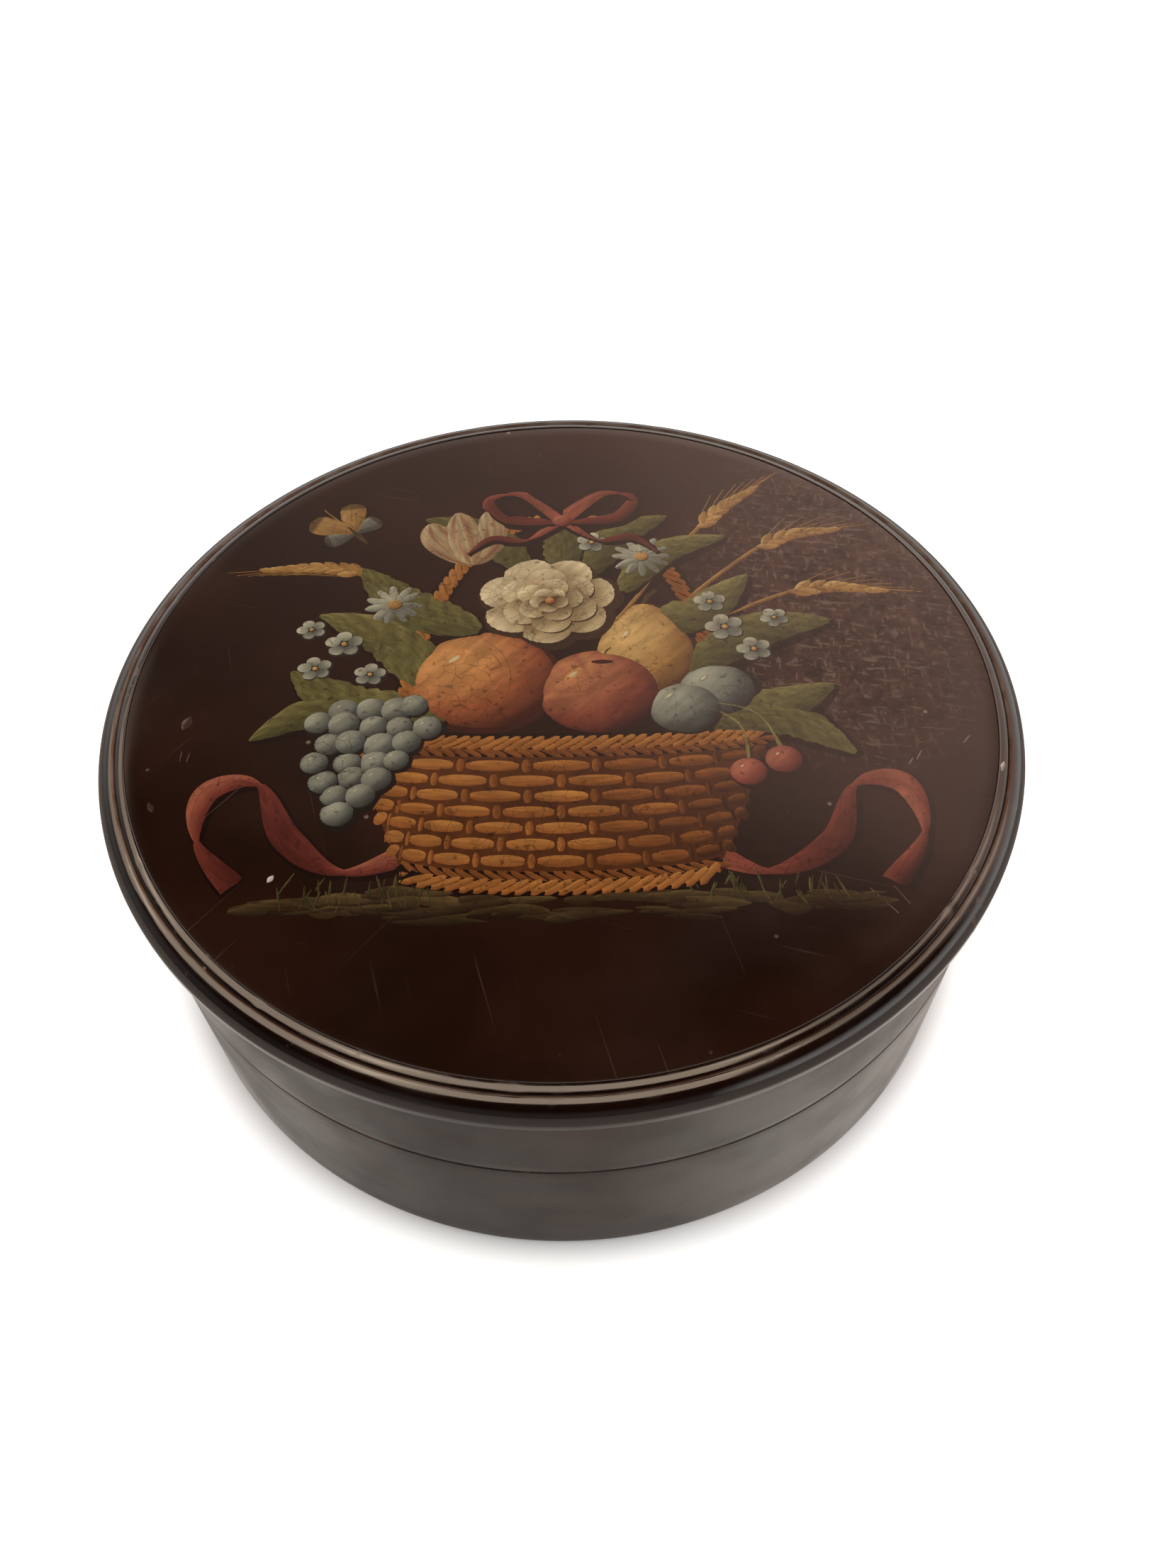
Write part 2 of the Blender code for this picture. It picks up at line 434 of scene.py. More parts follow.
def side_lacquer():
    """Return the satin lacquer of the side, with faint lines from turning and reddish patches."""
    finish = Finish("side_lacquer", SIDE_DARK)
    _, _, z = finish.parts()
    lines = finish.noise(0.25, 1, stretch=(0.12, 0.12, 4.0))
    seam = maths("ABSOLUTE", z - SEAM_HEIGHT).step(0.45, 0.15)
    finish.coat(SIDE_WARM, finish.noise(0.06, 4).step(0.44, 0.68))
    finish.coat(SIDE_RED, finish.noise(0.045, 3, finish.turned(50)).step(0.56, 0.72))
    finish.coat(CRAZE_LIGHT, lines.step(0.56, 0.74, 0, 0.10))
    finish.coat(RIM_RUBBED, seam * finish.noise(0.5, 3).step(0.55, 0.70) * 0.6)
    finish.coat(PULP, z.step(0.9, 0.2) * finish.noise(0.4, 3).step(0.45, 0.68) * 0.6)
    finish.bump(finish.noise(0.12, 3), 0.05, 0.5)
    finish.bump(lines, 0.003, 0.4)
    return finish.done(finish.noise(0.1, 4).step(0.35, 0.7, 0.26, 0.38) + lines.step(0.5, 0.75, 0, 0.04))


def rim_lacquer():
    """Return the glossy dark lacquer of the moulded rim, dusty and rubbed brown in spots."""
    finish = Finish("rim_lacquer", RIM_DARK)
    rubbed = finish.noise(0.6, 4).step(0.62, 0.74) * finish.noise(0.08, 2).step(0.50, 0.66)
    dulled = finish.noise(0.45, 3).step(0.56, 0.66, 0, 0.07)
    finish.coat(GROUND_DARK, finish.noise(0.1, 3).step(0.4, 0.7))
    finish.coat(RIM_RUBBED, rubbed * 0.6)
    finish.coat(DUST, dust_specks(finish, 0.5, 0.12) * 0.5)
    finish.bump(finish.noise(0.22, 2), 0.040, 0.6)
    finish.bump(finish.noise(0.8, 3), 0.006, 0.6)
    finish.shader.inputs["IOR"].default_value = RIM_IOR
    finish.shader.inputs["Specular IOR Level"].default_value = 1
    return finish.done(finish.noise(0.15, 4).step(0.35, 0.72, 0.10, 0.20) + rubbed * 0.25 + dulled)


def groove_dust():
    """Return the dull wax and dust that has gathered on the outer side of the rim's groove."""
    finish = Finish("groove_dust", RIM_RUBBED)
    finish.coat(GROOVE_DUST, finish.noise(0.35, 4).step(0.36, 0.66))
    finish.bump(finish.noise(1.5, 3), 0.01, 0.6)
    return finish.done(finish.noise(0.8, 3).step(0.3, 0.7, 0.45, 0.65))


def inside_lacquer():
    """Return the thin red-brown lacquer of the inside, brushed round by hand, rubbed at the lip."""
    finish = Finish("inside_lacquer", INSIDE_DARK)
    _, _, z = finish.parts()
    brushed = finish.noise(0.3, 4, stretch=(0.35, 0.35, 4.0))
    lip = z.step(COLLAR_TOP - 0.8, COLLAR_TOP - 0.1) * z.step(COLLAR_TOP + 0.3, COLLAR_TOP + 0.1)
    finish.coat(INSIDE_RED, brushed.step(0.35, 0.66))
    finish.coat(INSIDE_DARK, finish.noise(0.9, 4).step(0.60, 0.74, 0, 0.5))
    finish.coat(PULP, hair_scratches(finish, 0.4) * 0.4)
    finish.coat(PULP, lip * finish.noise(0.35, 4).step(0.46, 0.64) * 0.7)
    finish.bump(brushed, 0.03, 0.6)
    return finish.done(finish.noise(0.2, 3).step(0.3, 0.7, 0.30, 0.46))


def underside_lacquer():
    """Return the dull lacquer under the box, scuffed where it stands on the table."""
    finish = Finish("underside_lacquer", UNDER_DARK)
    ring = finish.away().step(BOARD_RADIUS - 2.5, BOARD_RADIUS + 0.5)
    finish.coat(SIDE_WARM, finish.noise(0.07, 5).step(0.4, 0.7))
    finish.coat(PULP, hair_scratches(finish, 0.35) * 0.6)
    finish.coat(PULP, ring * finish.noise(0.25, 4).step(0.45, 0.66) * 0.5)
    finish.bump(finish.noise(0.7, 4), 0.03, 0.7)
    return finish.done(finish.noise(0.15, 4).step(0.3, 0.7, 0.42, 0.62))


def seam_lacquer():
    """Return the rubbed finish of the two seam faces, where lid and base meet."""
    finish = Finish("seam_lacquer", SIDE_WARM)
    finish.coat(PULP, finish.noise(1.1, 5).step(0.48, 0.72, 0, 0.4))
    finish.bump(finish.noise(1.2, 4), 0.02, 0.7)
    return finish.done(finish.noise(0.5, 3).step(0.3, 0.7, 0.4, 0.7))


def side_shape(turn):
    """Return a shape that moves the outer side by the error of hand turning, never outwards."""
    def shape(radius, height, angle):
        if radius > WALL_RADIUS - ROUND_EDGE_DEPTH:
            radius -= WAVE_DEPTH * hand_error(angle + turn, 0.3 * height)
        return radius, height
    return shape


def side_slots(edge):
    """Return which finish each face of the side gets: the outer one beyond the edge, or the seam's."""
    def choose(radius, height):
        if abs(height - SEAM_HEIGHT) < HAIRLINE:
            return 2
        return 0 if radius > edge else 1
    return choose


def make_base_wall(side, inside, seam):
    """Turn the base's side, its rounded seam edge and foot, and the rebate under it."""
    outline = arc((WALL_RADIUS - SEAM_ROUND, SEAM_HEIGHT - SEAM_ROUND), SEAM_ROUND, 0, 90, 5)
    outline += run((WALL_RADIUS, SEAM_HEIGHT - SEAM_ROUND), (WALL_RADIUS, FOOT_ROUND), 14)[1:]
    outline += arc((WALL_RADIUS - FOOT_ROUND, FOOT_ROUND), FOOT_ROUND, 90, 180, 7)
    outline += [(FOOT_REBATE, 0), (FOOT_REBATE, BOARD_TOP), (BORE, BOARD_TOP), (BORE, SEAM_HEIGHT)]
    turned_piece("base_side", outline, (side, inside, seam), "base", "base_wall",
                 side_slots(FOOT_REBATE + HAIRLINE), side_shape(0))


def make_bottom_board(under, inside):
    """Turn the bottom board, closing the hairline round it."""
    radius, top = FOOT_REBATE - HAIRLINE, BOARD_TOP - HAIRLINE
    outline = [(BOTTOM_CAP, top)] + run((BOTTOM_RING, top), (radius, top), 6)
    outline += [(radius, top), (radius, HAIRLINE)] + run((radius, 0), (BOTTOM_RING, 0), 6)[1:]
    turned_piece("base_bottom", outline + [(BOTTOM_CAP, 0)], (under, inside), "base",
                 "base_bottom_board", lambda radius, height: 1 if height > HAIRLINE else 0, closed=False)


def make_collar(inside):
    """Turn the neck collar with its eased lip."""
    inner, shoulder = COLLAR_RADIUS - COLLAR_THICKNESS, COLLAR_TOP - LIP_ROUND
    outline = arc((COLLAR_RADIUS - LIP_ROUND, shoulder), LIP_ROUND, 0, 90, 6)
    outline += run((COLLAR_RADIUS, shoulder), (COLLAR_RADIUS, BOARD_TOP), 10)[1:]
    outline += [(COLLAR_RADIUS, BOARD_TOP)] + run((inner, BOARD_TOP), (inner, shoulder), 10)
    outline += arc((inner + LIP_ROUND, shoulder), LIP_ROUND, 270, 360, 6)
    turned_piece("collar_ring", outline, (inside,), "base", "neck_collar")


def make_skirt(side, inside, seam):
    """Turn the lid's side, eased inside its mouth."""
    outline = run((WALL_RADIUS, SKIRT_TOP), (WALL_RADIUS, SEAM_HEIGHT + SEAM_ROUND), 10)
    outline += arc((WALL_RADIUS - SEAM_ROUND, SEAM_HEIGHT + SEAM_ROUND), SEAM_ROUND, 90, 180, 5)
    outline += arc((BORE + LEAD_IN, SEAM_HEIGHT + LEAD_IN), LEAD_IN, 180, 270, 6)
    turned_piece("lid_side", outline + [(BORE, SKIRT_TOP)], (side, inside, seam), "lid",
                 "lid_skirt", side_slots(BORE + LEAD_IN), side_shape(0.5))


def rim_nicks():
    """Return small knocks in the rim: angle, radius, height, reach and depth of each."""
    dice = random.Random(NICK_SEED)
    nicks = []
    for _ in range(NICK_COUNT):
        angle, radius = dice.uniform(0, 2 * math.pi), RIM_RADIUS - dice.choice(NICK_PLACES)
        height = RIM_CREST - dice.uniform(*NICK_DROP)
        nicks.append((angle, radius, height, dice.uniform(*NICK_REACH), dice.uniform(*NICK_DEPTH)))
    return nicks


def make_rim(rim, inside, groove):
    """Turn the moulded rim: bead, groove and quarter roll above, spigot below, knocked at its edge."""
    spigot_outer = BORE - GLUE_GAP
    spigot_inner = spigot_outer - SPIGOT_THICKNESS
    roll = (RIM_RADIUS - ROLL_RADIUS, LID_LEVEL + ROLL_RISE - ROLL_RADIUS)
    edge = (BEAD_EDGE, RIM_CREST - BEAD_EDGE_RADIUS)
    bead = (BEAD_MIDDLE, edge[1] - (BEAD_RADIUS - BEAD_EDGE_RADIUS) * math.cos(BEAD_START_TILT))
    foot = (RIM_RADIUS - ROLL_FOOT_RADIUS, SKIRT_TOP + ROLL_FOOT_RADIUS)
    bead_start, bead_end, roll_start = map(math.degrees, (BEAD_START_TILT, BEAD_END_TILT, ROLL_START_TILT))
    outline = arc(edge, BEAD_EDGE_RADIUS, -90, bead_start, 8)
    outline += arc(bead, BEAD_RADIUS, bead_start, bead_end, 12)[1:]
    outline.append((GROOVE_MIDDLE, roll[1] + ROLL_RADIUS * math.cos(ROLL_START_TILT) - GROOVE_DEPTH))
    outline += arc(roll, ROLL_RADIUS, roll_start, 90, 30) + arc(foot, ROLL_FOOT_RADIUS, 90, 180, 8)
    outline += [(WALL_RADIUS, SKIRT_TOP), (spigot_outer, SKIRT_TOP), (spigot_outer, SPIGOT_BOTTOM)]
    outline += [(spigot_inner, SPIGOT_BOTTOM), (spigot_inner, LEDGE_LEVEL), (RIM_REBATE, LEDGE_LEVEL)]
    nicks = rim_nicks()

    def shape(radius, height, angle):
        if radius > RIM_REBATE - HAIRLINE and height > SKIRT_TOP + HAIRLINE:
            sink = RIM_WAVE_DEPTH * hand_error(angle, 4.0)
            for turn, at_radius, at_height, size, depth in nicks:
                away = abs((angle - turn + math.pi) % (2 * math.pi) - math.pi) * radius
                if away < 3 * size:
                    gap = away ** 2 + (radius - at_radius) ** 2 + (height - at_height) ** 2
                    sink += depth * math.exp(-gap / size ** 2)
            height -= sink
        return radius, height

    def choose(radius, height):
        if GROOVE_MIDDLE < radius < ROLL_START and height > SKIRT_TOP + ROUND_EDGE_DEPTH:
            return 2
        return 1 if radius < spigot_outer + HAIRLINE and height < LEDGE_LEVEL + ROUND_EDGE_DEPTH else 0
    turned_piece("lid_rim", outline, (rim, inside, groove), "lid", "lid_rim_moulding", choose,
                 shape, segments=RIM_SEGMENTS)


def make_lid_board(lacquer, inside):
    """Turn the lid's flat board, fitted up to the bead of the rim and not quite even."""
    radius, top, under = RIM_REBATE - HAIRLINE, LACQUER_LEVEL, LEDGE_LEVEL
    outline = [(LID_CAP, top)] + run((LID_RING, top), (radius - BOARD_ROUND, top), 26)
    outline += arc((radius - BOARD_ROUND, top - BOARD_ROUND), BOARD_ROUND, 0, 90, 4)
    outline += [(radius, under)] + run((radius, under), (LID_RING, under), 6)[1:] + [(LID_CAP, under)]

    def shape(radius, height, angle):
        if height > under + HAIRLINE:
            height += lid_level(radius * math.cos(angle), radius * math.sin(angle)) - top
        return radius, height
    turned_piece("lid_board", outline, (lacquer, inside), "lid", "lid_top_board",
                 lambda radius, height: 0 if height > under + HAIRLINE else 1, shape, closed=False)


# Paint films, in millimetres
FILM_BASE = 0.012
FILM_COAT = 0.0035
FILM_EDGE = 0.004
FILM_ROOT = 0.03
FINEST_MARK = 0.05

# Paint ramps: the shadow, middle and light of each colour
WICKER = (tint(58, 28, 12), tint(134, 78, 34), tint(180, 122, 60))
GOLD = (tint(78, 48, 20), tint(148, 106, 52), tint(196, 158, 96))
PEACH = (tint(84, 36, 18), tint(150, 84, 44), tint(194, 136, 78))
BRICK = (tint(42, 15, 12), tint(112, 50, 39), tint(158, 92, 68))
SLATE = (tint(26, 28, 27), tint(76, 80, 73), tint(148, 148, 128))
CREAM = (tint(78, 56, 34), tint(158, 136, 96), tint(208, 190, 148))
PETAL = (tint(52, 55, 50), tint(118, 119, 103), tint(176, 171, 145))
CHIPPED = (tint(62, 45, 36), tint(140, 122, 104), tint(220, 212, 200))
LEAF = (tint(32, 31, 16), tint(88, 84, 44), tint(152, 138, 82))
MOSS = (tint(30, 20, 12), tint(64, 50, 28), tint(108, 86, 48))
SHADOW = tint(20, 9, 6)

# The painted light falls from the upper left
LIGHT = Vector((-0.52, 0.55, 0.65))
LIGHT_FLAT = Vector((-0.69, 0.73))


def blend(first, second, share):
    """Return a mix of two colours."""
    return tuple(a + (b - a) * min(max(share, 0), 1) for a, b in zip(first, second))


def shade(ramp, value):
    """Return a colour of a ramp: 0 is its shadow, 0.5 its middle and 1 its light."""
    value = min(max(value, 0), 1) * 2
    return blend(ramp[0], ramp[1], value) if value < 1 else blend(ramp[1], ramp[2], value - 1)


def way_of(degrees):
    """Return the direction that a mark at an angle points in."""
    return Vector((math.cos(math.radians(degrees)), math.sin(math.radians(degrees))))


def smooth_path(knots, steps=8):
    """Return a smooth path through a few given points."""
    path = []
    for index in range(len(knots) - 1):
        before, start = knots[max(index - 1, 0)], knots[index]
        end, after = knots[index + 1], knots[min(index + 2, len(knots) - 1)]
        for step in range(steps):
            t = step / steps
            path.append(tuple(0.5 * (2 * b + (c - a) * t + (2 * a - 5 * b + 4 * c - d) * t ** 2
                                     + (3 * b - a - 3 * c + d) * t ** 3)
                              for a, b, c, d in zip(before, start, end, after)))
    return path + [tuple(knots[-1])]


def lens(width, bluntness=0.6):
    """Return the half width along a mark that swells from a point and back."""
    return lambda share: width / 2 * math.sin(math.pi * min(max(share, 0.02), 0.98)) ** bluntness


class Film:
    """Collects the brush marks of one motif, each a thin closed film of paint on the lid."""

    def __init__(self, name, dice):
        self.name, self.dice = name, dice
        self.points, self.colours, self.strokes, self.faces = [], [], [], []
        self.marks = 0

    def lay(self, rows, tones, coat, around=False):
        """Lay one film from rows of places, with a colour for each.

        Its border is thin and its root lies under the lid's surface. Rows that go around are rings,
        the smallest first.
        """
        count, width, first = len(rows), len(rows[0]), len(self.points)
        self.marks += 1
        along = 7.3 * self.marks
        middle = rows[0][width // 2]
        for level in (1, 0):
            for index, row in enumerate(rows):
                if level:
                    along += math.dist(row[width // 2], middle)
                    middle = row[width // 2]
                for place, (x, y) in enumerate(row):
                    border = index == count - 1 or (not around and (index == 0 or place in (0, width - 1)))
                    height = FILM_EDGE if border else FILM_BASE + FILM_COAT * coat
                    self.points.append((x, y, lid_level(x, y) + (height if level else -FILM_ROOT)))
                    self.colours.append(tones[index][place])
                    across = (place - width / 2) * math.dist(row[0], row[1])
                    self.strokes.append(((x + y) * 0.35, (y - x) * 0.25) if around else (along, across))
        below = count * width

        def corner(index, place):
            return first + index * width + place % width

        def face(corners):
            self.faces.append(corners)
            self.faces.append([point + below for point in reversed(corners)])
        for index in range(count - 1):
            for place in range(width if around else width - 1):
                quad = [corner(index, place), corner(index, place + 1), corner(index + 1, place + 1),
                        corner(index + 1, place)]
                face(quad[::-1] if around else quad)
        if around:
            face([corner(0, place) for place in range(width)])
            border = [corner(count - 1, place) for place in range(width)]
        else:
            border = [corner(0, place) for place in range(width - 1)]
            border += [corner(index, width - 1) for index in range(count - 1)]
            border += [corner(count - 1, place) for place in range(width - 1, 0, -1)]
            border += [corner(index, 0) for index in range(count - 1, 0, -1)]
        for here, there in zip(border, border[1:] + border[:1]):
            self.faces.append((here, here + below, there + below, there))

    def brush(self, path, half_width, tone, coat, columns=5):
        """Lay a mark along a path. The tone gets the share along, the side and how lit that side is."""
        rows, tones = [], []
        last = len(path) - 1
        sides = [2 * column / (columns - 1) - 1 for column in range(columns)]
        for index, (x, y) in enumerate(path):
            step = Vector(path[min(index + 1, last)]) - Vector(path[max(index - 1, 0)])
            right = Vector((step.y, -step.x)).normalized()
            share = index / last
            reach = max(half_width(share) if callable(half_width) else half_width, FINEST_MARK)
            rows.append([(x + right.x * reach * side, y + right.y * reach * side) for side in sides])
            tones.append([tone(share, side, side * right.dot(LIGHT_FLAT)) for side in sides])
        self.lay(rows, tones, coat)

    def line(self, path, half_width, colour, coat, columns=3):
        """Lay a mark of one colour along a path."""
        self.brush(path, half_width, lambda share, side, lit: colour, coat, columns)

    def raised(self, path, half_width, tone, coat, shift, columns=5):
        """Lay a mark over its own dark edge, which is shifted away from the light."""
        under = [(x + shift[0], y - shift[1]) for x, y in path]
        self.line(under, lambda share: half_width(share) + 0.2, SHADOW, coat - 0.5, 5)
        self.brush(path, half_width, tone, coat, columns)

    def dab(self, place, size, angle, ramp, coat, value=0.5, steps=7, bluntness=0.6):
        """Lay one short lens-shaped mark, rounded by the light."""
        turn = math.radians(angle)
        half = (size[0] / 2 * math.cos(turn), size[0] / 2 * math.sin(turn))
        ends = (place[0] - half[0], place[1] - half[1]), (place[0] + half[0], place[1] + half[1])
        self.brush(run(*ends, steps) + [ends[1]], lens(size[1], bluntness),
                   lambda share, side, lit: shade(ramp, value + 0.38 * lit), coat)

    def rings(self, centre, reaches, size, colour_at, coat, outline, segments):
        """Lay rings round a centre, out to the outline: each reach is a share of the size."""
        rows, tones = [], []
        for reach in reaches:
            angles = [2 * math.pi * segment / segments for segment in range(segments)]
            fars = [outline(angle) if outline else 1 for angle in angles]
            rows.append([(centre[0] + reach * math.cos(angle) * far * size[0],
                          centre[1] + reach * math.sin(angle) * far * size[1])
                         for angle, far in zip(angles, fars)])
            tones.append([colour_at(angle, reach) for angle in angles])
        self.lay(rows, tones, coat, around=True)

    def ball(self, place, size, ramp, coat, outline=None, tone=None, rings=8, segments=28):
        """Lay a round thing, lit from the upper left, over a dark edge on its far side."""
        spread = min(0.30, 0.09 * size[0])
        behind = (place[0] + 0.7 * spread, place[1] - 0.8 * spread)
        dark = blend(ramp[0], SHADOW, 0.6)
        self.rings(behind, (0.1, 0.4, 0.7, 1.0), (size[0] + spread, size[1] + spread),
                   lambda angle, reach: dark, coat - 0.22, outline, segments)

        def lit_colour(angle, reach):
            rise = math.sqrt(max(0, 1 - reach ** 2))
            lit = (LIGHT.dot(Vector((reach * math.cos(angle), reach * math.sin(angle), rise))) + 0.34) / 1.32
            return tone(angle, reach, lit) if tone else shade(ramp, lit)
        self.rings(place, [(ring + 0.2) / (rings + 0.2) for ring in range(rings + 1)], size, lit_colour, coat,
                   outline, segments)

    def highlight(self, place, size, coat, ramp, angle=45):
        """Lay the small pale mark of the light on something glossy, with a softer one under it."""
        self.dab(place, (size * 1.9, size * 1.2), angle, ramp, coat, 0.98, 9, 0.8)
        self.dab(place, (size, size * 0.55), angle, CREAM, coat + 0.3, 0.85, 7, 0.8)

    def done(self, paint):
        """Make the collected marks one piece, levelled by the varnish over them."""
        mesh = new_piece(self.name, self.points, self.faces, (paint,), "lid").data
        colours = mesh.color_attributes.new(name="paint", type="FLOAT_COLOR", domain="POINT")
        for item, colour in zip(colours.data, self.colours):
            item.color = (*colour, 1)
        strokes = mesh.uv_layers.new(name="stroke")
        for loop in mesh.loops:
            strokes.data[loop.index].uv = self.strokes[loop.vertex_index]
        mesh.normals_split_custom_set_from_vertices([(0, 0, 1)] * len(mesh.vertices))


def paint_lacquer():
    """Return old oil paint under varnish: streaked by the brush, finely cracked and rubbed."""
    finish = Finish("paint_lacquer", None)
    finish.ground = finish.output("ShaderNodeVertexColor", "Color", layer_name="paint")
    strokes = finish.output("ShaderNodeUVMap", "UV", uv_map="stroke")
    rough, _, marks, scratched = varnish(finish)
    streaks = finish.noise(1.0, 3, strokes, (0.30, 2.4, 1))
    cracks = finish.cells(0.75, "DISTANCE_TO_EDGE").step(0.035, 0.012)
    finish.coat(GROUND_DARK, streaks.step(0.34, 0.68, 0.30, 0.0))
    finish.coat(GROUND_WARM, finish.noise(0.35, 4).step(0.35, 0.70, 0.0, 0.22))
    finish.coat(GROUND_DARK, cracks * finish.noise(0.12, 3).step(0.44, 0.60) * 0.45)
    finish.coat(GROUND_DARK, finish.noise(1.1, 5).step(0.60, 0.70) * 0.55)
    finish.coat(GROUND_RED, marks * 0.30)
    finish.coat(CRAZE_LIGHT, scratched * 0.25)
    finish.bump(streaks, 0.004, 0.5)
    return finish.done(rough)


# The basket: height of its rim and foot, their half widths, its weave, and its twisted bands
BASKET_RIM, BASKET_FOOT = -7.0, -25.0
BASKET_WIDE, BASKET_NARROW = 22.0, 15.0
BASKET_TURN = math.radians(84)
BASKET_SAG = 2.2
WEAVE_ROWS, WEAVE_STAKES = 9, 17
HANDLE_REACH, HANDLE_RISE = 17.0, 34.0
BANDS = ((0.94, (3.4, 1.2), 3, -28), (1.0, (4.2, 1.8), 4, 28),
         (0.06, (3.2, 1.1), 3, -28), (0.0, (3.8, 1.6), 4, 28))


def basket_place(turn, share):
    """Return a place on the basket: turn from -1 at its left to 1, share from 0 at the foot to 1."""
    half = BASKET_NARROW + (BASKET_WIDE - BASKET_NARROW) * share ** 0.8
    angle = turn * BASKET_TURN
    height = BASKET_FOOT + (BASKET_RIM - BASKET_FOOT) * share
    return half * math.sin(angle) / math.sin(BASKET_TURN), height - BASKET_SAG * math.cos(angle) * 0.9


def twisted_band(film, path, size, coat, lean, spacing):
    """Lay short slanting marks along a path, as a rope of twisted withies."""
    travelled = 0
    for index in range(1, len(path)):
        here, step = Vector(path[index]), Vector(path[index]) - Vector(path[index - 1])
        travelled += step.length
        if travelled >= spacing:
            travelled -= spacing
            angle = math.degrees(math.atan2(step.y, step.x))
            facing = Vector((-step.y, step.x)).normalized().dot(LIGHT_FLAT)
            film.dab(here, size, angle + lean, WICKER, coat, 0.5 + math.copysign(0.22, lean) * facing)


def paint_basket(film):
    """Paint the wicker basket: its handle, its weave row by row, and its twisted rim and foot."""
    handle = []
    for step in range(241):
        angle = math.pi * (1 - step / 240)
        handle.append((HANDLE_REACH * math.cos(angle), BASKET_RIM + 1 + HANDLE_RISE * math.sin(angle) ** 0.9))
    film.line(handle[::4], 1.45, SHADOW, 0, 5)
    twisted_band(film, handle, (3.9, 1.7), 1, 28, 1.3)
    rows = [[basket_place(column / 12 - 1, step / 18) for column in range(25)] for step in range(19)]
    tones = [shade(WICKER, 0.05 + 0.08 * (1 - column / 24)) for column in range(25)]
    film.lay(rows, [tones] * len(rows), 0)
    for row in range(WEAVE_ROWS):
        share = (row + 0.5) / WEAVE_ROWS
        for stake in range(WEAVE_STAKES):
            turn = 2 * (stake + 0.5) / WEAVE_STAKES - 1
            left, right = (basket_place(turn + away / WEAVE_STAKES, share) for away in (-1, 1))
            span = math.dist(left, right)
            slant = math.degrees(math.atan2(right[1] - left[1], right[0] - left[0]))
            lit = 0.62 - 0.34 * turn - 0.30 * abs(turn) + film.dice.uniform(-0.10, 0.10)
            place = basket_place(turn, share)
            if (row + stake) % 2:
                film.dab(place, (span * 1.82, 1.95), slant, WICKER, 2 + 0.05 * row, lit, 8, 0.42)
            else:
                film.dab(place, (2.1, span * 0.42), 90 + 6 * turn, WICKER, 1, lit - 0.18)
    for share, size, coat, lean in BANDS:
        band = [basket_place(step / 100 - 1, share) for step in range(201)]
        film.line(band[::5], size[1] * 0.8, SHADOW, coat - 0.5, 5)
        twisted_band(film, band, size, coat, lean, 1.35)


BANK_LEVEL = -28.8


def paint_bank(film):
    """Paint the mossy bank that the basket stands on, in broad level strokes, and its grass."""
    dice = film.dice
    for index in range(96):
        x = dice.uniform(-29, 29)
        y = BANK_LEVEL + dice.uniform(-3.0, 2.6) * (1 - abs(x) / 33)
        size = (dice.uniform(3, 8), dice.uniform(0.7, 1.7))
        value = 0.38 + 0.13 * (y - BANK_LEVEL) + dice.uniform(-0.2, 0.2)
        film.dab((x, y), size, dice.uniform(-9, 9), MOSS, index * 0.02, value, 9)
    for _ in range(60):
        x = dice.choice((-1, 1)) * dice.uniform(12, 27)
        place = (x, -27.2 + dice.uniform(-1.4, 1))
        blade = (dice.uniform(1.4, 3.2), 0.26)
        film.dab(place, blade, 90 + dice.uniform(-30, 30), LEAF, 2, dice.uniform(0.05, 0.4))


# Each leaf's base, tip, width and bend
LEAVES = (((-12, -5), (-30, 2), 7.0, -0.14), ((-13, -2), (-28, 11), 6.4, 0.12),
          ((-9, 8), (-24, 19), 6.2, -0.10), ((12, -4), (30, -1), 6.6, 0.14),
          ((14, 1), (31, 9), 6.2, -0.12), ((9, 8), (22, 17), 6.0, 0.12),
          ((-4, 18), (-17, 28), 5.4, 0.12), ((3, 17), (13, 28), 5.4, -0.12),
          ((-17, -5), (-33, -8), 5.4, 0.16), ((16, -6), (31, -11), 5.4, -0.16),
          ((0, 17), (-2, 29), 5.0, 0.10), ((7, 14), (20, 24), 4.8, -0.14))


def paint_leaves(film):
    """Paint the toothed leaves that stand out behind the heap, one half of each lighter."""
    for index, (base, tip, width, bend) in enumerate(LEAVES):
        base, tip = Vector(base), Vector(tip)
        coat, value = 4 + 0.08 * index, 0.48 + film.dice.uniform(-0.10, 0.10)
        across = Vector((tip.y - base.y, base.x - tip.x)) * bend
        rib = smooth_path([base, (base + tip) / 2 + across, tip], 12)

        def reach(share, width=width):
            tooth = 1 + 0.10 * (1 - (share * 9) % 1)
            return width / 2 * math.sin(math.pi * min(max(share, 0.02), 0.99) ** 0.8) ** 0.85 * tooth

        def tone(share, side, lit, value=value):
            vein = 0.10 * math.cos(2 * math.pi * (7 * share - 1.2 * abs(side)))
            return shade(LEAF, value + 0.30 * lit + vein - 0.12 * (1 - share))
        film.raised(rib, reach, tone, coat, (0.2, 0.25), 7)
        film.line(rib[1:-1], lambda share: 0.13 * (1 - share), shade(LEAF, value + 0.35), coat + 0.5)


# Each ear of wheat: three points along its stem
EARS = (((8, 6), (24, 22), (33, 25)), ((10, 5), (27, 14), (37, 14)), ((6, 9), (17, 26), (24, 33)),
        ((-9, 6), (-24, 18), (-35, 19)))
GRAINS = 17


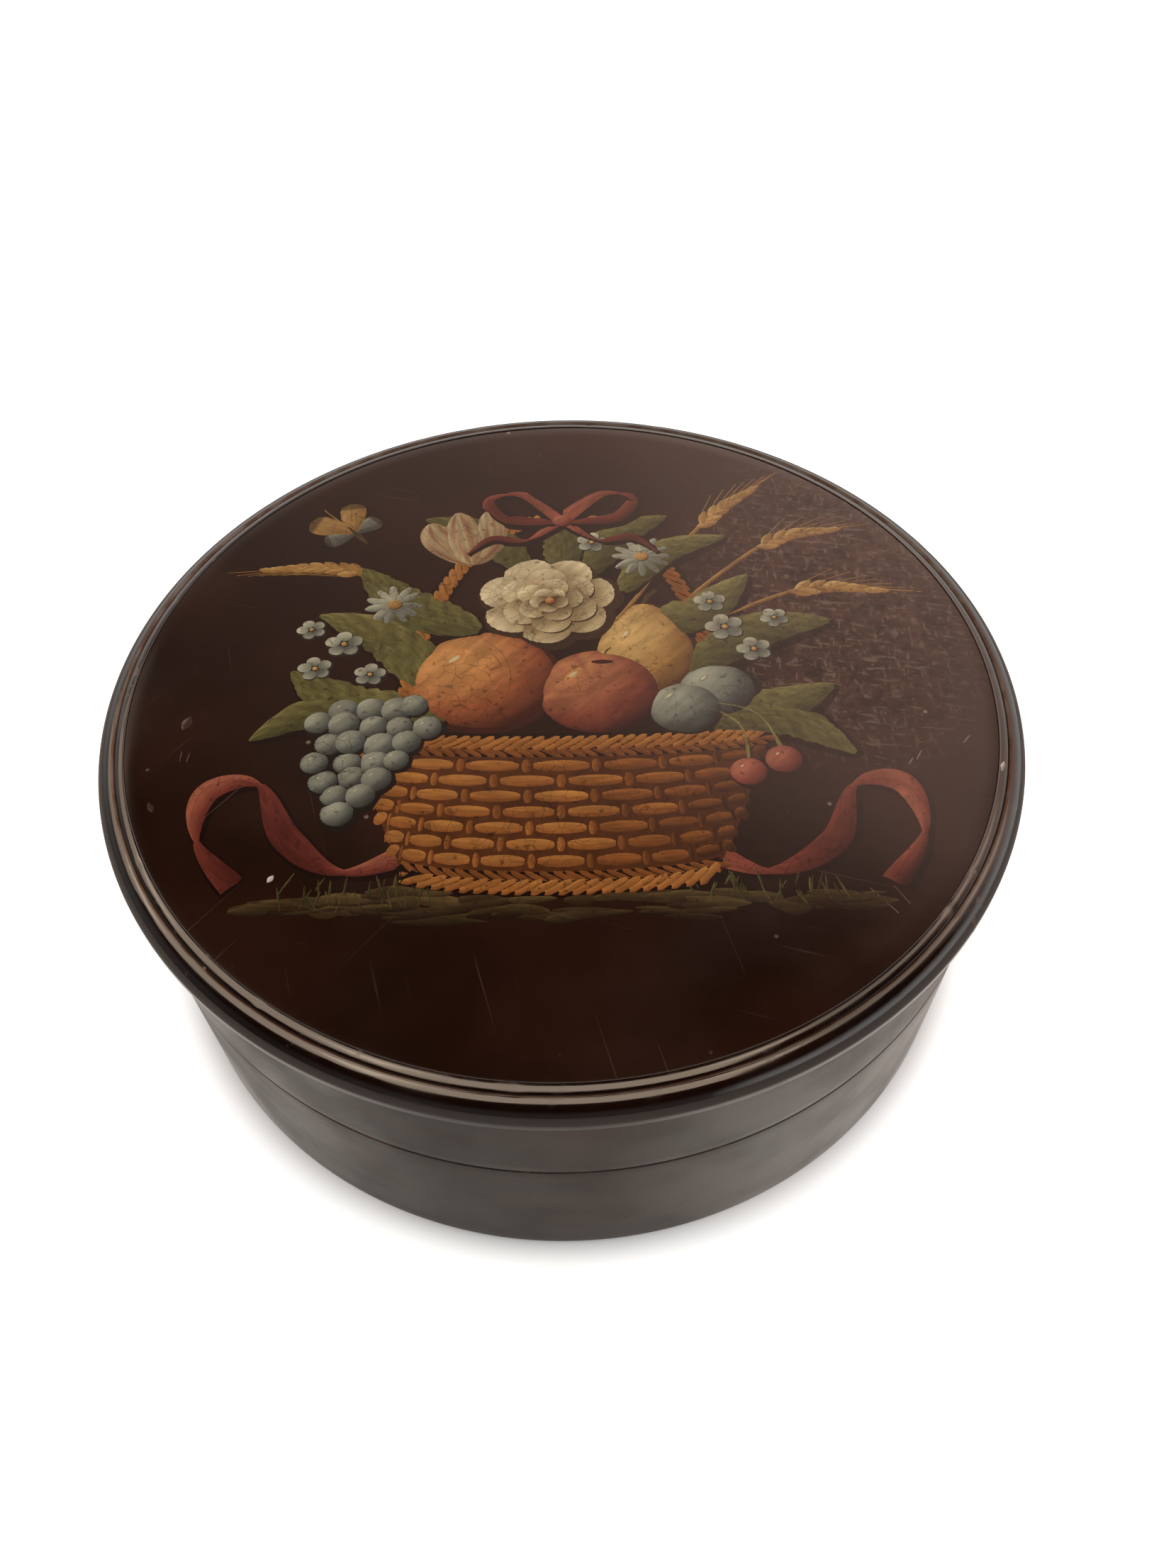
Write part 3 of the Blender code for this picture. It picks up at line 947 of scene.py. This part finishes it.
def paint_wheat(film):
    """Paint ears of wheat that fan out of the heap, grain by grain with their awns."""
    for index, knots in enumerate(EARS):
        coat = 3 + 0.2 * index
        stem = smooth_path(knots, 24)
        film.brush(stem, 0.28, lambda share, side, lit: shade(GOLD, 0.40 + 0.3 * lit), coat, 3)
        for grain in range(GRAINS):
            place = 24 + int(grain * 1.42)
            here = Vector(stem[min(place, 47)])
            ahead = Vector(stem[min(place + 1, 48)]) - here
            angle = math.degrees(math.atan2(ahead.y, ahead.x))
            lean = (1 if grain % 2 else -1) * (30 - 1.8 * grain)
            taper = 1 - 0.025 * grain
            way = way_of(angle + lean)
            middle = here + way * 1.0
            if grain % 2:
                film.dab(middle + way * 2.6, (4.4, 0.14), angle + lean * 0.6, GOLD, coat + 0.4, 0.45, 6)
            film.dab(middle, (2.8 * taper, 1.35 * taper), angle + lean, GOLD, coat + 0.6 + 0.01 * grain,
                     0.55 + film.dice.uniform(-0.12, 0.14))


def paint_fruit(film):
    """Paint the heap of fruit: a pear, a peach, an apple and two plums."""
    def pear(angle):
        return 1 + 0.34 * math.exp(-((angle - math.pi / 2) / 0.55) ** 2)

    def blushed(angle, reach, lit):
        return blend(shade(PEACH, lit), shade(BRICK, lit), 0.75 * reach * (0.5 + 0.5 * math.cos(angle + 0.5)))

    def streaked(angle, reach, lit):
        warm = 0.35 + 0.25 * math.sin(17 * angle + 2) * reach + 0.2 * math.sin(31 * angle) * reach
        return blend(shade(BRICK, lit), shade(PEACH, lit), warm * lit)
    film.ball((9.5, 4), (5.6, 6.2), GOLD, 6, outline=pear, segments=44)
    film.line([(9.4, 12.1), (9.9, 13.4), (11.0, 14.6)], 0.32, shade(MOSS, 0.5), 7)
    film.highlight((7.2, 7.2), 1.5, 7, GOLD, 60)
    film.ball((17.0, -1.6), (4.4, 4.0), SLATE, 7, segments=36)
    film.ball((-8.5, 0.4), (8.2, 7.4), PEACH, 8, tone=blushed, segments=48)
    cleft = smooth_path([(-9.5, 7.3), (-6.6, 4.2), (-5.6, 0.2), (-6.8, -4.6)])
    film.line(cleft, lens(0.6), shade(BRICK, 0.32), 9)
    film.highlight((-12.0, 3.6), 2.0, 9.2, PEACH)
    film.ball((4.2, -1.6), (6.9, 6.3), BRICK, 10, tone=streaked, segments=44)
    film.dab((4.5, 2.9), (3.0, 1.2), 0, BRICK, 11, 0.05, 9, 0.8)
    film.line([(4.5, 3.0), (5.0, 4.6), (6.1, 6.0)], 0.28, shade(MOSS, 0.6), 12)
    film.highlight((1.3, 1.0), 1.7, 11, PEACH)
    film.ball((13.4, -4.2), (4.1, 3.8), SLATE, 11, segments=36)
    film.line(smooth_path([(12.0, -1.0), (12.4, -3.6), (11.6, -7.4)]), lens(0.45), shade(SLATE, 0.12), 12)
    film.highlight((15.6, 0.2), 1.0, 8, SLATE)
    film.highlight((11.7, -2.4), 1.0, 12.2, SLATE)


# The bunch of grapes: how many in each row, and how far down it lies; the cherries and their stalks
BUNCH = ((4, 3.2), (5, 5.7), (4, 8.2), (4, 10.7), (3, 13.1), (2, 15.4), (1, 17.6))
CHERRIES = (((19.4, -13.2), ((14, -3), (18.8, -6.4), (19.5, -11.4))),
            ((23.2, -11.6), ((14, -3), (20.6, -4.8), (23.0, -9.8))))


def paint_grapes(film):
    """Paint the bunch that hangs over the basket's left rim and the cherries over its right."""
    dice = film.dice
    film.line(smooth_path([(-13, -1), (-17, -2.6), (-19.5, -6)]), 0.34, shade(MOSS, 0.6), 7)
    coat = 8
    for row, (count, drop) in enumerate(BUNCH):
        for place in range(count):
            x = -19.6 - 0.45 * row + (place - (count - 1) / 2) * 2.8 + dice.uniform(-0.5, 0.5)
            y = -drop - 0.4 + dice.uniform(-0.5, 0.5)
            size = 1.85 + dice.uniform(-0.22, 0.22)
            film.ball((x, y), (size, size), SLATE, coat, rings=5, segments=20)
            film.highlight((x - 0.6, y + 0.65), 0.5, coat + 0.08, SLATE)
            coat += 0.25
    for (x, y), knots in CHERRIES:
        film.line(smooth_path(knots), 0.22, shade(LEAF, 0.7), 12)
        film.ball((x, y), (2.1, 2.0), BRICK, 14, rings=6, segments=24)
        film.highlight((x - 0.7, y + 0.8), 0.6, 15, BRICK)


def paint_petals(film, place, distance, size, count, ramp, coat, start, value, depth):
    """Lay a ring of petals round a flower's heart, each darker towards the heart."""
    for petal in range(count):
        angle = start + 2 * math.pi * petal / count
        far = (place[0] + distance * math.cos(angle), place[1] + distance * math.sin(angle) * 0.92)
        facing = 0.20 * Vector((math.cos(angle), math.sin(angle))).dot(LIGHT_FLAT)

        def tone(way, reach, lit, angle=angle, facing=facing):
            outward = 0.5 + 0.5 * reach * math.cos(way - angle)
            return shade(ramp, value - depth + 2 * depth * outward + facing)
        film.ball(far, size, ramp, coat + 0.25 * petal, tone=tone, rings=5, segments=22)


# The rose, with its rings of petals from the outside in: reach, petal size, how many, coat, first angle
ROSE = (-1.5, 13.0)
ROSE_RINGS = ((4.9, (3.5, 3.2), 7, 12, 0.2), (3.5, (2.9, 2.7), 6, 14, 0.6), (2.2, (2.2, 2.0), 5, 16, 0.1),
              (1.1, (1.5, 1.3), 5, 18, 0.9))

# The tulip's petals: tip, width and lean; the asters: place, petals and reach; the blossom: place and reach
TULIP = (((-16.4, 27.2), 4.6, -1.2), ((-9.2, 29.6), 4.6, 1.2), ((-13.0, 29.2), 5.4, 0))
ASTERS = (((9.5, 20.5), 12, 3.3), ((-19.5, 12.6), 11, 3.0))
BLOSSOM = ((18.6, 8.2, 1.9), (21.6, 4.6, 1.7), (17.2, 12.4, 1.6), (-24.6, 6.2, 1.8), (-27.4, 2.4, 1.6),
           (-21.2, 1.4, 1.5), (3.6, 23.2, 1.6), (24.4, 9.6, 1.4), (-28.6, 8.6, 1.4))


def paint_flowers(film):
    """Paint a full rose, a striped tulip, two pale asters and sprays of small blossom."""
    for distance, size, count, coat, start in ROSE_RINGS:
        paint_petals(film, ROSE, distance, size, count, CREAM, coat, start, 0.30 + 0.02 * count, 0.66)
    film.ball((ROSE[0] + 0.1, ROSE[1] - 0.1), (0.75, 0.65), PEACH, 19.5, rings=4, segments=18)
    for index, (tip, width, lean) in enumerate(TULIP):
        def striped(share, side, lit, index=index):
            stripe = 0.5 + 0.5 * math.cos(9 * side + 3 * share + index)
            pale = shade(CREAM, 0.45 + 0.35 * lit + 0.15 * share)
            return blend(pale, shade(BRICK, 0.6), 0.85 * stripe ** 3)
        path = smooth_path([(-10.8, 19.4), ((-10.8 + tip[0]) / 2 + lean, 24.0), tip], 10)
        film.brush(path, lens(width, 0.75), striped, 10 + 0.3 * index, 9)
    for place, count, radius in ASTERS:
        for petal in range(count):
            angle = 360 * petal / count + film.dice.uniform(-5, 5)
            way = way_of(angle) * radius * 0.62
            film.dab(Vector(place) + way, (radius * 1.05, 1.35), angle, PETAL, 9 + 0.05 * petal,
                     0.58 + 0.22 * way.normalized().dot(LIGHT_FLAT), 7, 0.5)
        film.ball(place, (1.1, 1.0), GOLD, 10, rings=4, segments=16)
    for x, y, radius in BLOSSOM:
        petal = (radius * 0.55, radius * 0.5)
        paint_petals(film, (x, y), radius * 0.72, petal, 5, PETAL, 9, film.dice.uniform(0, 1), 0.60, 0.36)
        film.ball((x, y), (radius * 0.26, radius * 0.26), GOLD, 10.6, rings=3, segments=12)


# The ribbon's tails beside the basket, and its bow's loops and ends on the right side
LEFT_TAIL = ((-13, -22), (-21, -25), (-27, -21), (-31, -14), (-36, -15), (-36, -21), (-31.5, -26.5))
RIGHT_TAIL = ((13, -22), (20, -25.5), (27, -22), (30, -15), (35, -15), (36, -21), (32, -27))
BOW_LOOP = ((0.4, 27.6), (5.2, 32.4), (9.0, 31.4), (6.8, 27.6), (0.6, 27.0))
BOW_END = ((0.4, 27.0), (4.4, 23.6), (8.6, 24.0), (11.6, 21.2))


def paint_ribbon(film):
    """Paint the brick-red ribbon: a bow on the handle, and long tails that turn over beside the basket."""
    def tail(knots, turns, coat, width=1.7, flip=1):
        path = smooth_path([(flip * x, y) for x, y in knots], 14)

        def reach(share):
            return width * (0.22 + 0.78 * abs(math.cos(math.pi * turns * share))) * (1 - 0.2 * share)

        def tone(share, side, lit):
            front = math.cos(math.pi * turns * share)
            return shade(BRICK, 0.46 + 0.24 * front + 0.30 * lit + 0.10 * side)
        film.raised(path, reach, tone, coat, (0.25, 0.3))
    tail(LEFT_TAIL, 3.0, -1.5)
    tail(RIGHT_TAIL, 3.0, -1.5)
    for side in (-1, 1):
        tail(BOW_LOOP, 1.4, 16, 1.5, side)
        tail(BOW_END, 1.6, 15, 1.1, side)
    film.ball((0, 27.3), (1.5, 1.3), BRICK, 17, rings=5, segments=18)


# The butterfly: its body, each wing's angle, length, width, colours and coat, and how its feelers part
BUTTERFLY = Vector((-25.5, 25.5))
WINGS = ((100, 5.8, 4.2, GOLD, 4), (160, 6.2, 4.4, GOLD, 4),
         (45, 3.8, 3.4, SLATE, 3.5), (205, 3.9, 3.4, SLATE, 3.5))
FEELERS = ((-1.4, 1.6, 0), (-2.6, 3.2, 0.5), (-3.0, 4.6, 1.4))


def paint_butterfly(film):
    """Paint a small gold and slate butterfly above the heap's left."""
    for angle, length, width, ramp, coat in WINGS:
        def reach(share, width=width):
            return width / 2 * max(share, 0.05) ** 0.6 * (1.02 - share ** 6) ** 0.5

        def tone(share, side, lit, ramp=ramp):
            band = 1 if share > 0.80 else 0.35 * math.cos(4 * math.pi * side) ** 2
            return blend(shade(ramp, 0.55 + 0.25 * lit + 0.2 * share), shade(MOSS, 0.2), band * 0.8)
        tip = BUTTERFLY + way_of(angle) * length
        film.brush(run(BUTTERFLY, tip, 14) + [tuple(tip)], reach, tone, coat, 9)
    film.dab(BUTTERFLY + Vector((0.2, -0.2)), (4.6, 0.8), 130, MOSS, 5, 0.5)
    for side in (-1, 1):
        feeler = [BUTTERFLY + Vector((x + part * side, y)) for x, y, part in FEELERS]
        film.line(smooth_path(feeler, 6), 0.09, shade(GOLD, 0.5), 5)


# The lid's chips and marks: place, size, degrees, how pale
WEAR = (((-28.0, -25.6), (0.9, 0.6), 60, 1.0), ((-40.1, -5.4), (1.9, 1.1), 75, 0.0),
        ((-39.8, -10.0), (1.4, 0.14), 92, 0.1), ((-39.0, -10.2), (1.2, 0.14), 86, 0.1),
        ((-41.5, -16.7), (1.4, 0.6), 120, 0.0), ((42.6, -9.1), (1.5, 0.22), 50, 0.2),
        ((36.2, -12.0), (1.0, 0.16), 55, 0.3), ((37.2, -11.2), (1.4, 0.16), 60, 0.3),
        ((30.6, -29.0), (3.6, 0.08), -52, 0.2), ((32.4, -28.4), (2.4, 0.08), -60, 0.1),
        ((45.5, -12.9), (1.4, 0.5), 66, 0.7))


def mark_lid(film):
    """Lay the small chips, rubs and scratches that show the pale ground under the lacquer, each with painted
    light and shade across it, lighter towards the upper left.
    """
    for place, size, angle, value in WEAR:
        # dab shades each mark across, lighter towards the upper left: painted light and shade on the chip
        film.dab(place, size, angle, CHIPPED, 0, value, 6, 0.8)


PAINT_SEED = 29


def paint_lid():
    """Paint the still life on the lid, from the bank and basket forward, and then its chips."""
    dice = random.Random(PAINT_SEED)
    paint = paint_lacquer()
    for name, motif in (("painted_bank", paint_bank), ("painted_basket", paint_basket),
                        ("painted_leaves", paint_leaves), ("painted_wheat", paint_wheat),
                        ("painted_fruit", paint_fruit), ("painted_grapes", paint_grapes),
                        ("painted_flowers", paint_flowers), ("painted_ribbon", paint_ribbon),
                        ("painted_butterfly", paint_butterfly), ("lid_wear", mark_lid)):
        film = Film(name, dice)
        motif(film)
        film.done(paint)


# The photograph's view: a phone held close above the table
VIEW_ELEVATION = math.radians(51.53)
VIEW_DISTANCE = 0.13057
VIEW_TARGET_HEIGHT = 0.0347
VIEW_RIGHT = 0.00287
VIEW_UP = -0.01028
VIEW_ROLL = math.radians(-0.80)
FILM_SIDE = 36
PHOTO_HIGH = 2212
FOCAL_PIXELS = 1661


def make_camera():
    """Place the camera at the photograph's viewing angle and make it the scene's."""
    back = Vector((0, -math.cos(VIEW_ELEVATION), math.sin(VIEW_ELEVATION)))
    level = Vector((1, 0, 0))
    upright = Vector((0, math.sin(VIEW_ELEVATION), math.cos(VIEW_ELEVATION)))
    right = math.cos(VIEW_ROLL) * level + math.sin(VIEW_ROLL) * upright
    up = math.cos(VIEW_ROLL) * upright - math.sin(VIEW_ROLL) * level
    data = bpy.data.cameras.new("view")
    data.sensor_fit = "VERTICAL"
    data.sensor_height = FILM_SIDE
    data.lens = FILM_SIDE * FOCAL_PIXELS / PHOTO_HIGH
    data.clip_start = 0.01
    camera = bpy.data.objects.new("view", data)
    pose = Matrix((right, up, back)).transposed().to_4x4()
    place = Vector((0, 0, VIEW_TARGET_HEIGHT)) + VIEW_DISTANCE * back
    pose.translation = place + VIEW_RIGHT * right + VIEW_UP * up
    camera.matrix_world = pose
    bpy.context.scene.collection.objects.link(camera)
    bpy.context.scene.camera = camera


# The lamps that light the box: place, size, radiance, colour
LAMPS = (("overhead_fill", (0, -0.10, 0.80), (1.6, 1.6), 0.85, (1, 1, 1)),
         ("left_window", (-0.70, 0.16, 0.46), (0.40, 0.50), 3.8, (1.0, 0.86, 0.73)),
         ("right_window", (0.72, 0.02, 0.44), (0.40, 0.50), 3.8, (1.0, 0.92, 0.85)))
LAMP_TARGET = (0, 0, 0.03)

# Long cards hung in an arc, which draw the light lines on the rim: place, size, degrees, radiance
CARD_TINT = (1.0, 0.79, 0.60)
CARD_HEIGHT = 0.45
CARDS = (("front_card", (-0.015, -0.125), (0.40, 0.20), 0, 2.1),
         ("left_front_card", (-0.315, 0.027), (0.40, 0.245), -42, 1.9),
         ("left_card", (-0.50, 0.30), (0.30, 0.36), -10, 1.6),
         ("right_card", (0.30, 0.08), (0.46, 0.12), 45, 1.2))


def softbox(name, place, target, size, radiance, colour, turn=0, in_gloss=False):
    """Hang a rectangular lamp of a given radiance, facing its target and turned in its own plane.

    Either only gloss shows it, or everything but gloss does.
    """
    data = bpy.data.lights.new(name, "AREA")
    data.shape = "RECTANGLE"
    data.size, data.size_y = size
    data.color = colour
    data.energy = radiance * math.pi * size[0] * size[1]
    lamp = bpy.data.objects.new(name, data)
    bpy.context.scene.collection.objects.link(lamp)
    facing = (Vector(place) - Vector(target)).normalized()
    side = Vector((0, 1, 0)).cross(facing).normalized()
    pose = Matrix((side, facing.cross(side), facing)).transposed().to_4x4()
    pose = pose @ Matrix.Rotation(math.radians(turn), 4, "Z")
    pose.translation = Vector(place)
    lamp.matrix_world = pose
    lamp.visible_diffuse = not in_gloss
    lamp.visible_glossy = in_gloss


def make_lights():
    """Light the box softly from above and both sides, with cards that only its gloss shows."""
    for name, place, size, radiance, colour in LAMPS:
        softbox(name, place, LAMP_TARGET, size, radiance, colour)
    for name, place, size, turn, radiance in CARDS:
        below = (place[0], place[1] + 0.001, 0)
        softbox(name, (*place, CARD_HEIGHT), below, size, radiance, CARD_TINT, turn, in_gloss=True)


# The room: how high its pale part reaches, and how it darkens at the left and behind the viewer
ROOM_LOW, ROOM_HIGH = 0.26, 0.54
ROOM_TINT = (1, 0.98, 0.95)
VIEWER_SIDE = (-0.45, 0.12, 0.10, 1)
RIGHT_SIDE = (0.40, 0.60, 0, 0.9)
LEFT_SIDE = (-0.95, -0.60, 0.2, 1)

# The warm glow of the room at the back, stronger to the right and lower down
WARM_LEVEL = 0.70
WARM_ACROSS = 1.8
WARM_DOWN = 2.35
WARM_HEIGHT = 0.724
WARM_RIGHT = (0.0, 0.17, 0, 0.7)
WARM_MOST = 2.1
WARM_TOP = (0.77, 0.84, 1, 0)
WARM_BACK = (0, 0.3, 0, 1)
WARM_END = (0.34, 0.50, 1, 0.4)
WARM_TINT = (1.0, 0.68, 0.55)


def make_world():
    """Make a room that is pale low down, dim overhead, warm at the back and dark behind the viewer.

    Where the camera sees it, it is plain white.
    """
    world = bpy.data.worlds.new("room")
    bpy.context.scene.world = world
    world.use_nodes = True
    nodes = world.node_tree.nodes
    nodes.remove(nodes["Background"])
    split = nodes.new("ShaderNodeSeparateXYZ")
    join(nodes.new("ShaderNodeTexCoord").outputs["Generated"], split.inputs[0])
    across, along, up = (Value(part) for part in split.outputs)
    seen = Value(nodes.new("ShaderNodeLightPath").outputs["Is Camera Ray"])
    round_viewer = along.fade(*VIEWER_SIDE).most(across.fade(*RIGHT_SIDE))
    pale = up.fade(ROOM_LOW, ROOM_HIGH, 1, 0) * round_viewer * across.fade(*LEFT_SIDE)
    warm = across * WARM_ACROSS + WARM_LEVEL + (WARM_HEIGHT - up) * WARM_DOWN + across.fade(*WARM_RIGHT)
    warm = maths("MINIMUM", warm.most(0.0), WARM_MOST)
    warm = warm * up.fade(*WARM_TOP) * up.fade(ROOM_LOW, ROOM_HIGH, 0, 1) * along.fade(*WARM_BACK)
    warm = warm * across.fade(*WARM_END)
    unseen = 1.0 - seen
    total = None
    for colour, strength in ((ROOM_TINT, pale * unseen), (WARM_TINT, warm * unseen), ((1, 1, 1), seen)):
        light = nodes.new("ShaderNodeBackground")
        join(colour, light.inputs["Color"])
        join(strength, light.inputs["Strength"])
        if total:
            both = nodes.new("ShaderNodeAddShader")
            join(total, both.inputs[0])
            join(light.outputs[0], both.inputs[1])
        total = both.outputs[0] if total else light.outputs[0]
    join(total, nodes["World Output"].inputs["Surface"])


# The floor's reach in metres, its tone, and its darker tone in the box's gloss
FLOOR_REACH = 4
FLOOR_TONE = (0.84, 0.84, 0.84)
FLOOR_IN_GLOSS = (0.32, 0.29, 0.27)

# Its glow in the camera's sight: none at the foot, so that a tight contact shadow is painted there, rising
# outwards from it; and more glow at the horizon
FLOOR_GLOW_AND_PAINTED_SHADOW = (47.5, 52.5, 0, 0.62)
FLOOR_FAR_GLOW = (180, 700, 0, 0.35)

# How much the floor close by glows where only the box's gloss sees it, a painted reflection that makes the
# side brighter: in front, then from one X to another
SHINE_FRONT = 0.19
SHINE_LEFT = (-12, -42, 0, 0.33)
SHINE_RIGHT = (2, 30, 0, 0.43)
SHINE_EDGE = (60, 76, 1, 0)
SHINE_TINT = (1.0, 0.93, 0.86)


def make_floor():
    """Lay a plain pale floor that keeps the box's soft shadow, with a tight contact shadow painted round the
    foot by its glow, and shows as white to its horizon; its glow in the box's gloss is a painted reflection.
    """
    mesh = bpy.data.meshes.new("floor")
    corners = ((-1, -1), (1, -1), (1, 1), (-1, 1))
    mesh.from_pydata([(x * FLOOR_REACH, y * FLOOR_REACH, 0) for x, y in corners], [], [(0, 1, 2, 3)])
    finish = Finish("floor", FLOOR_TONE)
    shader = finish.shader
    x, _, _ = finish.parts()
    away = finish.away()
    rays = finish.nodes.new("ShaderNodeLightPath").outputs
    seen, glossy = Value(rays["Is Camera Ray"]), Value(rays["Is Glossy Ray"])
    # A glow that only gloss sees, strongest to the left and right: a painted reflection in the box's side
    painted_reflection = (x.step(*SHINE_LEFT) + x.step(*SHINE_RIGHT) + SHINE_FRONT) * away.step(*SHINE_EDGE)
    # The camera sees no glow next to the foot: a painted contact shadow round it
    glow = seen * (away.step(*FLOOR_GLOW_AND_PAINTED_SHADOW) + away.step(*FLOOR_FAR_GLOW)) + glossy * painted_reflection
    join(glow, shader.inputs["Emission Strength"])
    join(finish.mixed((1, 1, 1), SHINE_TINT, glossy), shader.inputs["Emission Color"])
    shader.inputs["Specular IOR Level"].default_value = 0
    finish.coat(tuple(part * 0.99 for part in FLOOR_TONE), finish.noise(0.02, 3).step(0.3, 0.7))
    finish.coat(FLOOR_IN_GLOSS, glossy)
    mesh.materials.append(finish.done(0.9))
    floor = bpy.data.objects.new("floor", mesh)
    bpy.context.scene.collection.objects.link(floor)


def main():
    """Build the looks round the frame."""
    bpy.context.scene.view_settings.view_transform = "Standard"
    side, inside, seam = side_lacquer(), inside_lacquer(), seam_lacquer()
    make_base_wall(side, inside, seam)
    make_bottom_board(underside_lacquer(), inside)
    make_collar(inside)
    make_skirt(side, inside, seam)
    make_rim(rim_lacquer(), inside, groove_dust())
    make_lid_board(lid_lacquer(), inside)
    paint_lid()
    make_camera()
    make_lights()
    make_world()
    make_floor()


main()
bpy.context.view_layer.update()
